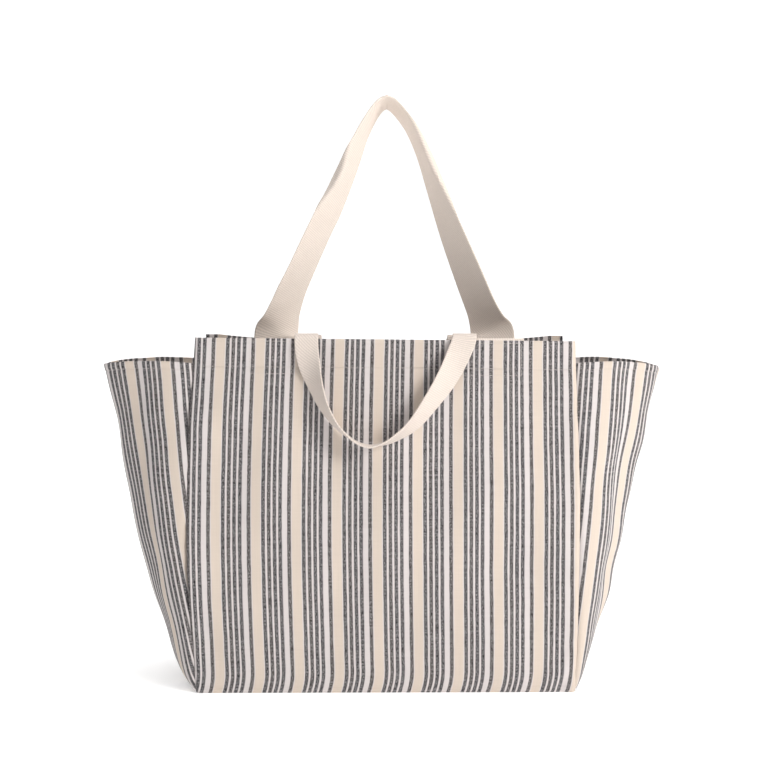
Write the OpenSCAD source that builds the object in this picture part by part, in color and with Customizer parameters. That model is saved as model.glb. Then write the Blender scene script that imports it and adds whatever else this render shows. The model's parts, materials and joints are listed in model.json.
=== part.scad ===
// Striped canvas tote bag: two panels, two flared gussets and a base, with two wide
// shoulder straps and two narrow grab handles sewn inside the top hems.
// Millimetres. X runs along the front, -Y faces the viewer, Z is up.
// The origin is the middle of the base, on the surface that the bag stands on.

/* [Bag] */
// Height of the front and back panels
panel_h = 370; // [350:1:390]
// Width of a panel at its top edge
panel_top_w = 400; // [380:1:420]
// Width of a panel at the base
panel_base_w = 396; // [376:1:416]
// How far the panel sides bow out at mid height
side_belly = 5; // [0:0.5:8]
// Depth of the base, front to back
base_depth = 180; // [170:1:190]
// Depth of the mouth, front to back
mouth_depth = 110; // [106:1:120]
// How far the front and back bulge at mid height
wall_belly = 8; // [0:0.5:10]
// Thickness of one layer of canvas
canvas_t = 1.2; // [0.8:0.1:1.4]

/* [Gussets] */
// Height of the gusset rims, lower than the panels
rim_h = 343; // [330:1:345]
// How far each gusset reaches out past the panels
gusset_reach = 102; // [80:1:120]
// How quickly the gussets flare: below 1 they flare most near the base
flare_power = 0.68; // [0.5:0.01:1]
// Roundness of the gusset in plan: 2 is an ellipse, less is more pointed
plan_power = 1.8; // [1.5:0.1:2.4]
// Height of the narrow hem along the gusset rims
rim_hem = 8; // [5:0.5:12]

/* [Hems and bindings] */
// Height of the facing behind the top edge of each panel
facing_h = 32; // [25:1:35]
// Depth of the hem stitch line below the top edge
hem_line = 30; // [20:1:32]
// Width of the binding over the inside seams
binding_w = 9; // [6:0.5:12]
// Thickness of the binding and the seam allowance inside it
binding_t = 2; // [1:0.1:3]

/* [Straps] */
// Width of the shoulder strap webbing
strap_w = 50; // [44:1:50]
// Distance of the middle of each shoulder strap end from the middle of the bag
strap_x = 121; // [121:0.5:126]
// Width of the grab handle webbing
handle_w = 25; // [20:1:25]
// Distance of the middle of each handle end from the middle of the bag
handle_x = 83; // [78:0.5:83]
// Thickness of the webbing
webbing_t = 2; // [1.5:0.1:2]
// Length of webbing sewn down inside the bag at each end
tab_h = 40; // [30:1:45]

/* [Hidden] */

stripe_colour = [0.72, 0.70, 0.68];
cream = [0.93, 0.88, 0.80];
thread_colour = [0.97, 0.94, 0.88];

// Gap kept between layers that lie on each other
layer_gap = 0.1;
// Width and thickness of a line of stitching
thread_w = 0.8;
thread_t = 0.4;
// Gap between a line of stitching and the cloth that it lies on
thread_gap = 0.08;
// Box stitching lies on top of the hem stitching
box_lift = thread_t + layer_gap;
// Margin of the box stitching from the edges of the tab
box_margin = 3;
// The facing lies behind the panel, and the tabs behind the facing
facing_inset = canvas_t + layer_gap;
tab_inset = facing_inset + canvas_t + layer_gap;
// Each strap hinges on a line just above the tabs, in the middle of the webbing
hinge_y = mouth_depth / 2 - tab_inset - webbing_t / 2;
hinge_z = panel_h + 2.5;
// Gaps below and above that line
tab_gap = 0.4;
loop_gap = 1.5;
// Distance of the seam bindings from the panel sides
binding_margin = 2.5;

// Half routes from one end to the middle of the loop. Each point gives the distance
// inwards along the bag, the distance off the hinge line towards the side that the strap
// is on, the height above the hinge line, and how far the webbing has turned on edge.
// A shoulder strap that stands up
standing_route = [
    [0, 0, 0, 0], [0, 0, 6, 0], [0, 0, 12, 4], [5, 0, 26, 30], [12, 0, 38, 48], [23, 1, 60, 54],
    [35, 1, 84, 57], [49, 2, 112, 60], [61, 2, 138, 63], [71, 2, 161, 66], [80, 2, 183, 69],
    [89, 2, 205, 72], [98, 2, 225, 76], [107, 2, 241, 82], [114, 2, 248, 87], [121, 2, 250, 90]
];
// A shoulder strap that has dropped inside the bag
dropped_route = [
    [0, 0, 0, 0], [0, 6, 0.5, 0], [0, 9.5, -7, 0], [2, 11, -30, 8], [9, 13, -60, 20],
    [20, 16, -90, 36], [34, 18, -120, 54], [50, 19, -152, 70], [64, 19, -180, 78],
    [78, 19, -206, 82], [93, 19, -230, 86], [107, 19, -250, 88], [121, 19, -258, 90]
];
// A grab handle that hangs over the outside
handle_route = [
    [0, 0, 0, 0], [0, 5.5, 0.5, 0], [0, 8, -5, 0], [1, 11.5, -22, 8], [4, 16.5, -42, 24],
    [11, 22, -62, 42], [21, 27, -80, 60], [34, 31, -97, 76], [48, 33, -108, 84],
    [64, 34, -113, 88], [83, 34, -115, 90]
];

function clamp01(v) = min(max(v, 0), 1);

function half_depth(z) =
    base_depth / 2 + (mouth_depth - base_depth) / 2 * clamp01(z / rim_h)
    + wall_belly * sin(180 * clamp01(z / rim_h));

function half_width(z) =
    panel_base_w / 2 + (panel_top_w - panel_base_w) / 2 * clamp01(z / panel_h)
    + side_belly * sin(180 * clamp01(z / panel_h));

// Evenly spaced values from a to b
function steps(a, b, count) = [for (i = [0:count]) a + (b - a) * i / count];

// Levels from z0 to z1. The levels between them are the same for every piece of the walls,
// so that pieces which lie on each other have the same facets.
function wall_levels(z0, z1) = concat(
    [z0],
    [for (z = steps(0, rim_h, 16)) if (z > z0 + 0.01 && z < z1 - 0.01) z],
    [z1]
);

// A grid of points of the front wall, set in from its outer face. Each row spans from its
// value in lefts to its value in rights.
function wall_grid(levels, lefts, rights, cols, inset) = [
    for (i = [0:len(levels) - 1])
        [for (x = steps(lefts[i], rights[i], cols)) [x, inset - half_depth(levels[i]), levels[i]]]
];

// Triangles of the quadrilateral a, b, c, d, whose corners run anticlockwise seen from outside
function two_triangles(a, b, c, d) = [[a, d, c], [a, c, b]];

// Closed solid between an outer and an inner grid of points
module sheet_solid(outer, inner) {
    rows = len(outer);
    cols = len(outer[0]);
    under = rows * cols;
    points = concat([for (row = outer) each row], [for (row = inner) each row]);
    faces = concat(
        [
            for (i = [0:rows - 2], j = [0:cols - 2])
                let (a = i * cols + j, b = a + 1, c = b + cols, d = a + cols)
                    each concat(
                        two_triangles(a, b, c, d),
                        two_triangles(b + under, a + under, d + under, c + under)
                    )
        ],
        [
            for (j = [0:cols - 2])
                let (a = j, b = j + 1, d = (rows - 1) * cols + j, c = d + 1)
                    each concat(
                        two_triangles(a + under, b + under, b, a),
                        two_triangles(d, c, c + under, d + under)
                    )
        ],
        [
            for (i = [0:rows - 2])
                let (a = i * cols, d = a + cols, b = a + cols - 1, c = b + cols)
                    each concat(
                        two_triangles(a + under, a, d, d + under),
                        two_triangles(b, b + under, c + under, c)
                    )
        ]
    );
    polyhedron(points, faces, convexity = 6);
}

// A piece of the front wall between two x values, two levels and two depths
module wall_patch(x0, x1, z0, z1, inset0, inset1) {
    levels = wall_levels(z0, z1);
    lefts = [for (z = levels) x0];
    rights = [for (z = levels) x1];
    sheet_solid(
        wall_grid(levels, lefts, rights, 1, inset0),
        wall_grid(levels, lefts, rights, 1, inset1)
    );
}

// A piece of the front wall that follows the panel's sides, at a margin from each
module wall_band(z0, z1, margin, inset0, inset1) {
    levels = wall_levels(z0, z1);
    lefts = [for (z = levels) margin - half_width(z)];
    rights = [for (z = levels) half_width(z) - margin];
    sheet_solid(
        wall_grid(levels, lefts, rights, 8, inset0),
        wall_grid(levels, lefts, rights, 8, inset1)
    );
}

module panel() {
    color(stripe_colour) wall_band(0, panel_h, 0, 0, canvas_t);
}

module facing() {
    color(stripe_colour)
        wall_band(panel_h - facing_h, panel_h, 1.5, facing_inset, facing_inset + canvas_t);
}

module hem_stitching() {
    z0 = panel_h - hem_line;
    color(thread_colour)
        wall_band(z0, z0 + thread_w, 2, -thread_t - thread_gap, -thread_gap);
}

// The binding over the seam at the right side of the front panel
module seam_binding() {
    levels = wall_levels(5, panel_h - facing_h - 1);
    rights = [for (z = levels) half_width(z) - binding_margin];
    lefts = [for (x = rights) x - binding_w];
    color(cream)
        sheet_solid(
            wall_grid(levels, lefts, rights, 1, facing_inset),
            wall_grid(levels, lefts, rights, 1, facing_inset + binding_t)
        );
}

module base_panel() {
    slack = 2 * facing_inset;
    color(stripe_colour)
        translate([0, 0, canvas_t / 2])
            cube([panel_base_w - slack, base_depth - slack, canvas_t], center = true);
}

module base_seam_binding() {
    margin = 2 * (canvas_t + 1.5);
    color(cream)
        translate([0, 0, canvas_t + layer_gap])
            linear_extrude(height = binding_t)
                difference() {
                    square([panel_base_w - margin, base_depth - margin], center = true);
                    square(
                        [
                            panel_base_w - margin - 2 * binding_w,
                            base_depth - margin - 2 * binding_w
                        ],
                        center = true
                    );
                }
}

// Plan of the right gusset at a level: a is -90 at the front seam and 90 at the back seam
function gusset_plan(a, z) =
    let (
        out = gusset_reach * pow(clamp01(z / rim_h), flare_power),
        deep = half_depth(z) - canvas_t - layer_gap / 2
    )
    [
        half_width(z) + out * pow(cos(a), 2 / plan_power),
        deep * sign(a) * pow(abs(sin(a)), 2 / plan_power)
    ];

gusset_angles = steps(-90, 90, 28);

// Unit normal of that plan, pointing out of the bag
function gusset_normal(a, z) =
    let (
        p = gusset_plan(max(a - 2, -90), z),
        q = gusset_plan(min(a + 2, 90), z),
        d = (q - p) / norm(q - p)
    )
    [d[1], -d[0]];

function gusset_point(a, z, inset) =
    let (p = gusset_plan(a, z) - inset * gusset_normal(a, z))
    [p[0], p[1], z];

module gusset() {
    hem_z = rim_h - rim_hem;
    levels = concat(steps(0, 45, 3), steps(80, hem_z - 0.1, 7), [hem_z, rim_h]);
    outer = [for (z = levels) [for (a = gusset_angles) gusset_point(a, z, 0)]];
    inner = [
        for (z = levels)
            let (layers = z < hem_z ? 1 : 2)
                [for (a = gusset_angles) gusset_point(a, z, layers * canvas_t)]
    ];
    color(stripe_colour) sheet_solid(outer, inner);
}

module rim_stitching() {
    z0 = rim_h - rim_hem + 1;
    levels = [z0, z0 + thread_w];
    angles = [for (a = gusset_angles) if (abs(a) < 85) a];
    outer = [for (z = levels) [for (a = angles) gusset_point(a, z, -thread_t - thread_gap)]];
    inner = [for (z = levels) [for (a = angles) gusset_point(a, z, -thread_gap)]];
    color(thread_colour) sheet_solid(outer, inner);
}

// Point of a smooth curve from p1 to p2, at fraction f
function between(p0, p1, p2, p3, f) =
    0.5 * (2 * p1 + (p2 - p0) * f + (2 * p0 - 5 * p1 + 4 * p2 - p3) * f * f
    + (3 * p1 - p0 - 3 * p2 + p3) * f * f * f);

// Point of the smooth curve through a route, at u from 0 to its last point's number
function along(route, u) =
    let (last = len(route) - 1, i = min(floor(u), last - 1))
    between(route[max(i - 1, 0)], route[i], route[i + 1], route[min(i + 2, last)], u - i);

// The four corners of the webbing at a point with heading t, turned on edge by an angle
function webbing_ring(p, t, turn, edge, width) =
    let (
        flat = [1, 0, 0] - t * t[0],
        lying = norm(flat) < 0.01 ? [0, 0, 0] : flat / norm(flat),
        turned = lying * cos(turn) + edge * sin(turn),
        square_on = turned - t * (turned * t),
        w = square_on / norm(square_on) * width / 2,
        n = cross(t, w) / norm(cross(t, w)) * webbing_t / 2
    )
    [p - w - n, p + w - n, p + w + n, p - w + n];

// Webbing along a half route and back down its mirror image, on the front hinge line.
// off is -1 where the route leaves outwards and 1 where it leaves inwards; edge is the
// direction that the webbing's inner edge turns to.
module webbing_loop(route, end_x, off, edge, width) {
    fine = 4;
    last = len(route) - 1;
    spots = [
        for (k = [0:last * fine])
            let (p = along(route, k / fine))
                if (norm([p[1], p[2]]) >= loop_gap) p
    ];
    path = [
        for (p = spots)
            [p[0] * end_x / route[last][0] - end_x, off * p[1] - hinge_y, p[2] + hinge_z]
    ];
    top = len(path) - 1;
    half = [
        for (i = [0:top])
            let (d = i == top ? [1, 0, 0] : path[i + 1] - path[max(i - 1, 0)])
                webbing_ring(path[i], d / norm(d), spots[i][3], edge, width)
    ];
    rings = concat(half, [for (i = [top - 1:-1:0]) [for (c = half[i]) [-c[0], c[1], c[2]]]]);
    faces = concat(
        [
            for (i = [0:len(rings) - 2], j = [0:3])
                let (a = 4 * i + j, b = 4 * i + (j + 1) % 4)
                    each two_triangles(a, b, b + 4, a + 4)
        ],
        two_triangles(3, 2, 1, 0),
        [for (f = two_triangles(0, 1, 2, 3)) f + [1, 1, 1] * 4 * (len(rings) - 1)]
    );
    color(cream) polyhedron([for (ring = rings) each ring], faces, convexity = 10);
}

// The two sewn-down ends of a strap, inside the front panel
module tabs(end_x, width) {
    color(cream)
        for (x = [-end_x, end_x])
            wall_patch(
                x - width / 2, x + width / 2,
                panel_h - tab_h, hinge_z - tab_gap,
                tab_inset, tab_inset + webbing_t
            );
}

// A rectangle of stitching over each of a strap's tabs, on the outside of the front panel
module box_stitching(end_x, width) {
    low = panel_h - tab_h + box_margin;
    high = panel_h - box_margin;
    depths = [-box_lift - thread_t, -box_lift];
    color(thread_colour)
        for (x = [-end_x, end_x]) {
            x0 = x - width / 2 + box_margin;
            x1 = x + width / 2 - box_margin;
            for (z = [low, high - thread_w])
                wall_patch(x0, x1, z, z + thread_w, depths[0], depths[1]);
            for (side_x = [x0, x1 - thread_w])
                wall_patch(
                    side_x, side_x + thread_w,
                    low + thread_w + layer_gap, high - thread_w - layer_gap,
                    depths[0], depths[1]
                );
        }
}

// Puts a piece of the front at the back
module at_back() {
    mirror([0, 1, 0]) children();
}

// Puts a piece of the right side at the left
module at_left() {
    mirror([1, 0, 0]) children();
}

panel();  // front_panel
at_back() panel();  // back_panel
at_left() gusset();  // left_gusset
gusset();  // right_gusset
base_panel();
facing();  // front_facing
at_back() facing();  // back_facing
at_left() seam_binding();  // front_left_seam_binding
seam_binding();  // front_right_seam_binding
at_back() at_left() seam_binding();  // back_left_seam_binding
at_back() seam_binding();  // back_right_seam_binding
base_seam_binding();
at_back() webbing_loop(standing_route, strap_x, -1, [0, -1, 0], strap_w);  // back_shoulder_strap
webbing_loop(dropped_route, strap_x, 1, [0, 1, 0], strap_w);  // front_shoulder_strap
webbing_loop(handle_route, handle_x, -1, [0, -1, 0], handle_w);  // front_grab_handle
at_back() webbing_loop(handle_route, handle_x, -1, [0, -1, 0], handle_w);  // back_grab_handle
at_back() tabs(strap_x, strap_w);  // back_shoulder_strap_tabs
tabs(strap_x, strap_w);  // front_shoulder_strap_tabs
tabs(handle_x, handle_w);  // front_grab_handle_tabs
at_back() tabs(handle_x, handle_w);  // back_grab_handle_tabs
hem_stitching();  // front_hem_stitching
at_back() hem_stitching();  // back_hem_stitching
at_left() rim_stitching();  // left_rim_stitching
rim_stitching();  // right_rim_stitching
at_back() box_stitching(strap_x, strap_w);  // back_shoulder_strap_stitching
box_stitching(strap_x, strap_w);  // front_shoulder_strap_stitching
box_stitching(handle_x, handle_w);  // front_grab_handle_stitching
at_back() box_stitching(handle_x, handle_w);  // back_grab_handle_stitching
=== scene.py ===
"""Looks of the striped canvas tote bag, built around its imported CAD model. Metres."""
import json
import math

import bpy
import numpy as np
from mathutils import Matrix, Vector


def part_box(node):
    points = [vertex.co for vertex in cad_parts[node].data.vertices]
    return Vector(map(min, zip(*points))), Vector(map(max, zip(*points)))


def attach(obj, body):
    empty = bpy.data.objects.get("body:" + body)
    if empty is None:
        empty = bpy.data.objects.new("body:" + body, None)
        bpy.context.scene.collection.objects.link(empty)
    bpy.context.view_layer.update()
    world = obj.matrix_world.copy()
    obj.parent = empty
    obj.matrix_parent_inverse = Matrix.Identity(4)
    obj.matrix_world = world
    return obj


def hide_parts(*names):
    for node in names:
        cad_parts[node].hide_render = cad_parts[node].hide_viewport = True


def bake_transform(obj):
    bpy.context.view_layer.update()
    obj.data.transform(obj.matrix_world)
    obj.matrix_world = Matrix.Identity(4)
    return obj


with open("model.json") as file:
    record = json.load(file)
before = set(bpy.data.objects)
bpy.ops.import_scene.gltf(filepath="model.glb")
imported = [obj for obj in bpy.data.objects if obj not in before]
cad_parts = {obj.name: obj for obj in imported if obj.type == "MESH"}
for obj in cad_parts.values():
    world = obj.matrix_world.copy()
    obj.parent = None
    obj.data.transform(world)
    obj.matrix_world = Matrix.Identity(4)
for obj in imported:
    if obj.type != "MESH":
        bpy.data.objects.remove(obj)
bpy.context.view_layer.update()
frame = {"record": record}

MM = 0.001

# ---------------------------------------------------------------- sizes from the frame
FRONT_LOW, FRONT_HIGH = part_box("front_panel")
RIM_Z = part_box("right_gusset")[1][2]
PANEL_H = FRONT_HIGH[2]
BASE_HALF_DEPTH = -FRONT_LOW[1]
BASE_HALF_W = 198 * MM
TOP_HALF_W = 200 * MM
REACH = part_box("right_gusset")[1][0] - TOP_HALF_W - 1 * MM
HINGE = frame["record"]["behaviour"]["joints"][0]["pos_m"]
HINGE_Y, HINGE_Z = abs(HINGE[1]), HINGE[2]
TAB_FOOT_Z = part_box("front_grab_handle_tabs")[0][2]
# The hinge line is in the middle of the webbing, behind the panel, the facing and a gap
MOUTH_HALF_DEPTH = HINGE_Y + 3.6 * MM

CANVAS_T = 1.1 * MM
WEBBING_T = 2 * MM
WIDE_W, NARROW_W = 50 * MM, 25 * MM
WIDE_X, NARROW_X = 121 * MM, 83 * MM
HEM_LINE = 30 * MM
RIM_HEM = 8 * MM
WALL_BELLY = 8 * MM
FACING_INSET = CANVAS_T + 0.1 * MM
BINDING_W = 9 * MM
BINDING_MARGIN = 2.5 * MM
TAPE_FLAT_W = 20 * MM
TAPE_T = 0.4 * MM
FOLDED_TAPE_T = 1.5 * MM
STITCH_PITCH = 3.3 * MM
BOX_MARGIN = 3 * MM
RIM_STITCH_PITCH = 3.4 * MM

# ---------------------------------------------------------------- the stripe pattern
PERIOD = 41.6 * MM
# Darks, in millimetres from the start of the repeat
DARK_STRIPES = [(0, 3.8), (5.8, 9.6), (11.6, 15.4), (17.4, 21.2), (26.6, 30.4)]
BEIGE_STRIPE = (31.4, 40.6)
# Where in the repeat each piece of cloth starts
FRONT_PHASE = 0.6 * MM
LEFT_PHASE = 6.8 * MM
RIGHT_PHASE = 1.2 * MM


def ramp01(v):
    v = np.clip(v, 0, 1)
    return v * v * (3 - 2 * v)


def half_depth(z):
    rise = np.clip(z / RIM_Z, 0, 1)
    return (BASE_HALF_DEPTH + (MOUTH_HALF_DEPTH - BASE_HALF_DEPTH) * rise
            + WALL_BELLY * np.sin(math.pi * rise))


def half_width(z, bow):
    rise = np.clip(z / PANEL_H, 0, 1)
    return (BASE_HALF_W + (TOP_HALF_W - BASE_HALF_W) * rise
            + bow * np.sin(math.pi * rise))


class Waves:
    """Smooth unevenness: a sum of sine waves whose directions come from a seeded draw."""

    def __init__(self, seed, shortest, longest, count=14, lean=1.0):
        draw = np.random.default_rng(seed)
        length = shortest * (longest / shortest) ** draw.random(count)
        angle = draw.random(count) * 2 * math.pi
        self.kx = 2 * math.pi / length * np.cos(angle)
        self.kz = 2 * math.pi / length * np.sin(angle) * lean
        self.phase = draw.random(count) * 2 * math.pi
        self.size = (length / longest) ** 0.7
        self.size /= math.sqrt((self.size ** 2).sum() / 2)

    def __call__(self, x, z):
        total = np.zeros_like(x)
        for kx, kz, phase, size in zip(self.kx, self.kz, self.phase, self.size):
            total += size * np.sin(kx * x + kz * z + phase)
        return total


def crease(x, z, row):
    """A soft groove that fades out at both ends. Its row has the place across and up of its
    start and of its end, its width and its depth, in millimetres."""
    sx, sz, end_x, end_z, width, depth = np.array(row) * MM
    dx, dz = end_x - sx, end_z - sz
    long = math.hypot(dx, dz)
    along = ((x - sx) * dx + (z - sz) * dz) / long ** 2
    across = ((x - sx) * dz - (z - sz) * dx) / long
    taper = ramp01(along / 0.35 + 0.2) * ramp01((1 - along) / 0.35 + 0.2)
    return depth * taper * np.exp(-(across / width) ** 2)


# ---------------------------------------------------------------- meshes
def make_object(name, verts, faces, cloth, material, slot=None):
    """A mesh object with smooth shading and a UV map, Cloth, in metres of flat cloth."""
    mesh = bpy.data.meshes.new(name)
    mesh.from_pydata([tuple(v) for v in verts], [], [tuple(f) for f in faces])
    layer = mesh.uv_layers.new(name="Cloth")
    loops = np.empty(len(mesh.loops), int)
    mesh.loops.foreach_get("vertex_index", loops)
    layer.data.foreach_set("uv", np.asarray(cloth, float)[loops].ravel())
    mesh.polygons.foreach_set("use_smooth", [True] * len(mesh.polygons))
    mesh.materials.append(material)
    mesh.validate()
    mesh.set_sharp_from_angle(angle=math.radians(50))
    obj = bpy.data.objects.new(name, mesh)
    bpy.context.scene.collection.objects.link(obj)
    return obj


def grid_normals(points):
    across = np.gradient(points, axis=1)
    up = np.gradient(points, axis=0)
    normal = np.cross(across, up)
    return normal / np.maximum(np.linalg.norm(normal, axis=2, keepdims=True), 1e-12)


def sheet_mesh(points, cloth, thickness):
    """Closed mesh of a grid of points and its offset inwards, none of it below the floor."""
    rows, cols = points.shape[:2]
    inner = points - grid_normals(points) * np.asarray(thickness)[..., None]
    verts = np.concatenate([points.reshape(-1, 3), inner.reshape(-1, 3)])
    verts[:, 2] = np.maximum(verts[:, 2], 0.0)
    uv = np.concatenate([cloth.reshape(-1, 2)] * 2)
    index = np.arange(rows * cols).reshape(rows, cols)
    under = index + rows * cols
    a, b = index[:-1, :-1], index[:-1, 1:]
    c, d = index[1:, 1:], index[1:, :-1]
    faces = [np.stack([a, b, c, d], -1).reshape(-1, 4)]
    a, b, c, d = under[:-1, :-1], under[:-1, 1:], under[1:, 1:], under[1:, :-1]
    faces.append(np.stack([a, d, c, b], -1).reshape(-1, 4))
    edges = [(index[0, ::-1], under[0, ::-1]), (index[-1], under[-1]),
             (index[:, 0], under[:, 0]), (index[::-1, -1], under[::-1, -1])]
    for outer, lower in edges:
        faces.append(np.stack([outer[:-1], outer[1:], lower[1:], lower[:-1]], -1))
    return verts, np.concatenate(faces), uv


def sheet_object(name, points, cloth, thickness, material, slot=None):
    return make_object(name, *sheet_mesh(points, cloth, thickness), material, slot)


def flip_y(points):
    """The mirror image at the back, with its columns turned round to keep it facing out."""
    return (points * [1, -1, 1])[:, ::-1]


def flip_x(points):
    return (points * [-1, 1, 1])[:, ::-1]


# ---------------------------------------------------------------- materials
def new_material(name):
    material = bpy.data.materials.new(name)
    material.use_nodes = True
    tree = material.node_tree
    tree.nodes.clear()
    return material, tree


class Graph:
    """Short calls that add and join shader nodes."""

    def __init__(self, tree):
        self.tree = tree

    def add(self, kind, inputs=(), **settings):
        node = self.tree.nodes.new("ShaderNode" + kind)
        for key, value in settings.items():
            setattr(node, key, value)
        for key, value in dict(inputs).items():
            self.put(node.inputs[key], value)
        return node

    def put(self, socket, value):
        if isinstance(value, bpy.types.NodeSocket):
            self.tree.links.new(value, socket)
        else:
            socket.default_value = value

    def math(self, operation, a, b=0.0, c=0.0):
        node = self.add("Math", operation=operation)
        for socket, value in zip(node.inputs, (a, b, c)):
            self.put(socket, value)
        return node.outputs[0]

    def weighted(self, *terms, plus=0.0):
        """The sum of the values, each times its weight, and of plus."""
        value, weight = terms[0]
        total = self.math("MULTIPLY", value, weight)
        for value, weight in terms[1:]:
            total = self.math("ADD", total, self.math("MULTIPLY", value, weight))
        return self.math("ADD", total, plus) if plus else total

    def shaded(self, colour, tone):
        """The colour made lighter or darker by tone."""
        grey_tone = self.add("CombineColor", {0: tone, 1: tone, 2: tone}).outputs[0]
        return self.mix(1.0, colour, grey_tone, "MULTIPLY")

    def mix(self, factor, a, b, blend="MIX"):
        node = self.add("Mix", data_type="RGBA", blend_type=blend)
        self.put(node.inputs["Factor"], factor)
        self.put(node.inputs["A"], a)
        self.put(node.inputs["B"], b)
        return node.outputs["Result"]

    def ramp(self, value, stops, interpolation="LINEAR"):
        node = self.add("ValToRGB")
        node.color_ramp.interpolation = interpolation
        elements = node.color_ramp.elements
        while len(elements) < len(stops):
            elements.new(1.0)
        for element, (at, colour) in zip(elements, stops):
            element.position = at
            element.color = colour
        self.put(node.inputs[0], value)
        return node.outputs["Color"]

    def wave(self, value, length):
        return self.math("SINE", self.math("MULTIPLY", value, 2 * math.pi / length))

    def noise(self, vector, scale, detail=2.0, roughness=0.5):
        node = self.add("TexNoise", {"Vector": vector, "Scale": scale, "Detail": detail,
                                     "Roughness": roughness})
        return node.outputs[0]

    def stretched(self, vector, x, y):
        node = self.add("Mapping", {"Vector": vector, "Scale": (x, y, 1.0)})
        return node.outputs[0]


def grey(value):
    return (value, value, value, 1.0)


CREAM = (0.640, 0.590, 0.578, 1.0)
BEIGE = (0.640, 0.548, 0.468, 1.0)
CHARCOAL = (0.030, 0.029, 0.031, 1.0)
BROWN_BLACK = (0.040, 0.033, 0.029, 1.0)
WIDE_COTTON = (0.800, 0.705, 0.630, 1.0)
NARROW_COTTON = (0.690, 0.605, 0.545, 1.0)
TAPE_COTTON = (0.640, 0.560, 0.490, 1.0)
THREAD_COTTON = (0.600, 0.545, 0.505, 1.0)
# The webbing's ribs, in millimetres from one to the next
TWILL_PITCH, PLAIN_PITCH = 2.2, 1.3


def mask_stops(bands, soft=0.25):
    """Ramp stops that are white inside the bands and black outside, in parts of a repeat."""
    period = PERIOD / MM
    stops = [(0.0, grey(1.0 if bands[0][0] == 0 else 0.0))]
    for low, high in bands:
        if low > 0:
            stops += [((low - soft) / period, grey(0)), ((low + soft) / period, grey(1))]
        stops += [((high - soft) / period, grey(1)), ((high + soft) / period, grey(0))]
    return stops


def striped_canvas():
    """Plain-woven cotton: cream ground, charcoal and beige warp stripes, cream weft."""
    material, tree = new_material("striped_canvas")
    g = Graph(tree)
    uv = g.add("UVMap", uv_map="Cloth").outputs["UV"]
    # Yarns wander a little sideways along their length
    wander = g.noise(g.stretched(uv, 260, 45), 1.0, 3.0)
    u, v = g.add("SeparateXYZ", {"Vector": uv}).outputs[:2]
    u = g.math("ADD", u, g.math("MULTIPLY", g.math("SUBTRACT", wander, 0.5), 0.9 * MM))
    repeat = g.math("FRACT", g.math("DIVIDE", u, PERIOD))
    dark = g.ramp(repeat, mask_stops(DARK_STRIPES))
    beige = g.ramp(repeat, mask_stops([BEIGE_STRIPE], 0.4))
    # The second dark of each group and the dark after the group are browner
    brown = g.ramp(repeat, mask_stops([(4.8, 10.6), (26.0, 31.0)], 0.3))

    # Yarn by yarn differences: warp yarns run up, weft yarns run across
    warp = g.noise(g.stretched(uv, 1500, 22), 1.0, 2.0, 0.6)
    weft = g.noise(g.stretched(uv, 30, 1100), 1.0, 2.0, 0.6)
    speck = g.noise(g.stretched(uv, 900, 560), 1.0, 3.0, 0.7)
    slub = g.noise(g.stretched(uv, 900, 140), 1.0, 1.0)
    patch = g.noise(g.stretched(uv, 9, 5), 1.0, 3.0)

    tone = g.weighted((warp, 0.12), (weft, 0.10), (patch, 0.06), plus=0.86)
    ground = g.shaded(g.mix(beige, CREAM, BEIGE), tone)
    ink = g.mix(brown, CHARCOAL, BROWN_BLACK)
    # Cream weft shows through the dark warp as fine specks
    shows = g.ramp(g.weighted((speck, 0.75), (weft, 0.25)),
                   [(0.38, grey(0.0)), (0.48, grey(0.12)), (0.58, grey(0.58))])
    ink = g.mix(shows, ink, (0.45, 0.425, 0.43, 1.0))
    black = g.ramp(slub, [(0.63, grey(0)), (0.69, grey(0.9))])
    ink = g.mix(black, ink, (0.008, 0.007, 0.008, 1.0))
    colour = g.mix(dark, ground, ink)

    # The weave: over and under, a warp yarn every 0.62 mm and a weft yarn every 0.75 mm
    weave = g.math("MULTIPLY", g.wave(u, 1.24 * MM), g.wave(v, 1.5 * MM))
    height = g.weighted((weave, 0.22), (weft, 0.5), (warp, 0.45))
    bump = g.add("Bump", {"Height": height, "Strength": 0.5, "Distance": 0.35 * MM})
    shader = g.add("BsdfPrincipled", {
        "Base Color": colour, "Roughness": 0.88, "Sheen Weight": 0.12, "Sheen Roughness": 0.5,
        "Specular IOR Level": 0.25, "Normal": bump.outputs[0]})
    g.add("OutputMaterial", {"Surface": shader.outputs[0]})
    return material


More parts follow.
